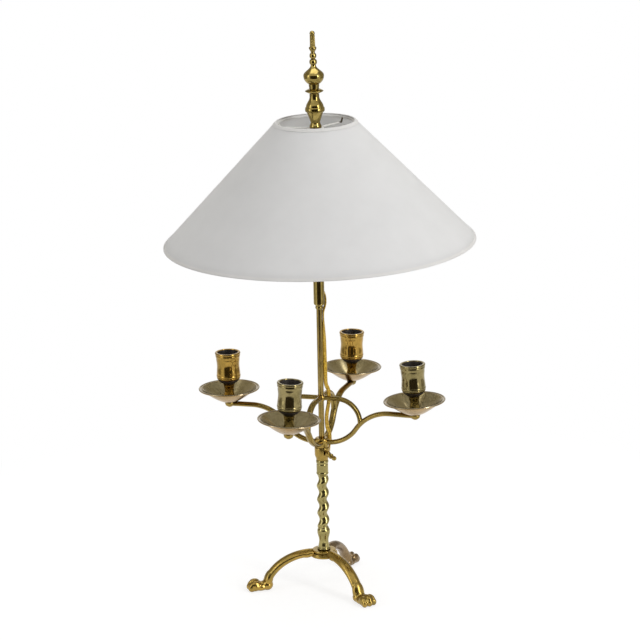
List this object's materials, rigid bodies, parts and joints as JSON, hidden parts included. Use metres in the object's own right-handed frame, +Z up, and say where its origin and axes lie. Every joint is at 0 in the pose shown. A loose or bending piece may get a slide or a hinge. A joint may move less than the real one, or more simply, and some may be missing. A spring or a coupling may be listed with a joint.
{
  "type": "bouillotte lamp",
  "caption": "Brass table lamp: a tripod and rope-twisted column, a ring of candle arms that slides and turns on the rod, and a wide cone shade.",
  "frame": {"origin": "on the table, on the axis of the rod", "axes": "+Z up along the rod; -Y is the front, where the clamp's thumbscrew points"},
  "size_m": [0.3809, 0.3809, 0.701],
  "materials": {
    "aged_brass": "cast and turned brass, worn polish, darker in the hollows",
    "pan_brass": "spun brass, dull inside",
    "bright_brass": "turned brass, bright polish",
    "dark_plastic": "moulded, dull",
    "lead_plastic": "clear gold flex over its strands",
    "ring_wire": "drawn wire, dull plating",
    "shade_cloth": "plain cloth laminated on a card-like backing",
    "shade_trim": "folded cloth tape",
    "bulb_glass": "frosted glass"
  },
  "bodies": {
    "stand": {"tripod_hub": "aged_brass", "leg_left": "aged_brass", "leg_front": "aged_brass", "leg_back": "aged_brass", "column_nut": "aged_brass", "outlet_bush": "dark_plastic", "twisted_column": "aged_brass", "centre_rod": "aged_brass", "lead": "lead_plastic", "holder_sleeve": "bright_brass", "sleeve_ferrule": "bright_brass", "sleeve_screw": "bright_brass", "holder_body": "bright_brass", "nipple_1": "bright_brass", "nipple_2": "bright_brass", "socket_cap_1": "bright_brass", "socket_cap_2": "bright_brass", "socket_shell_1": "bright_brass", "socket_shell_2": "bright_brass", "socket_core_1": "dark_plastic", "socket_core_2": "dark_plastic", "bulb_1": "bulb_glass", "bulb_2": "bulb_glass", "shade_seat": "bright_brass"},
    "clamp": {"clamp_boss": "aged_brass"},
    "thumbscrew": {"thumbscrew": "aged_brass"},
    "cluster": {"lower_collar": "aged_brass", "upper_collar": "aged_brass", "arm_right": "aged_brass", "arm_back": "aged_brass", "arm_left": "aged_brass", "arm_front": "aged_brass", "bow_right": "aged_brass", "bow_back": "aged_brass", "bow_left": "aged_brass", "bow_front": "aged_brass", "pan_right": "pan_brass", "pan_back": "pan_brass", "pan_left": "pan_brass", "pan_front": "pan_brass", "cup_right": "aged_brass", "cup_back": "aged_brass", "cup_left": "aged_brass", "cup_front": "aged_brass", "cup_screw_right": "aged_brass", "cup_screw_back": "aged_brass", "cup_screw_left": "aged_brass", "cup_screw_front": "aged_brass"},
    "knob_1": {"switch_knob_1": "dark_plastic"},
    "knob_2": {"switch_knob_2": "dark_plastic"},
    "shade": {"spider": "ring_wire", "top_ring": "ring_wire", "bottom_ring": "ring_wire", "shade_skin": "shade_cloth", "top_trim": "shade_trim", "bottom_trim": "shade_trim"},
    "finial": {"finial_vase": "bright_brass", "finial_spire": "bright_brass"}
  },
  "joints": [
    {"name": "cluster_slide", "type": "slide", "parent": "stand", "child": "clamp", "axis": [0, 0, 1], "range_m": [0, 0.08], "deforming": ["lead"]},
    {"name": "cluster_turn", "type": "hinge", "parent": "clamp", "child": "cluster", "pos_m": [0, 0, 0.1894], "axis": [0, 0, 1], "range_deg": [-12, 12]},
    {"name": "thumbscrew_turn", "type": "hinge", "parent": "clamp", "child": "thumbscrew", "pos_m": [0, 0, 0.1785], "axis": [0.5523, -0.8188, -0.1564], "range_deg": [0, 540]},
    {"name": "switch_1_turn", "type": "hinge", "parent": "stand", "child": "knob_1", "pos_m": [0.04143, 0.02901, 0.46275], "axis": [0.212, 0.1485, -0.9659], "continuous": true},
    {"name": "switch_2_turn", "type": "hinge", "parent": "stand", "child": "knob_2", "pos_m": [-0.04143, -0.02901, 0.46275], "axis": [-0.212, -0.1485, -0.9659], "continuous": true},
    {"name": "shade_turn", "type": "hinge", "parent": "stand", "child": "shade", "pos_m": [0, 0, 0.5824], "axis": [-0.0165, -0.0203, 0.9997], "continuous": true},
    {"name": "finial_turn", "type": "hinge", "parent": "stand", "child": "finial", "pos_m": [0, 0, 0.5824], "axis": [-0.0165, -0.0203, 0.9997], "range_deg": [0, 1440]}
  ]
}
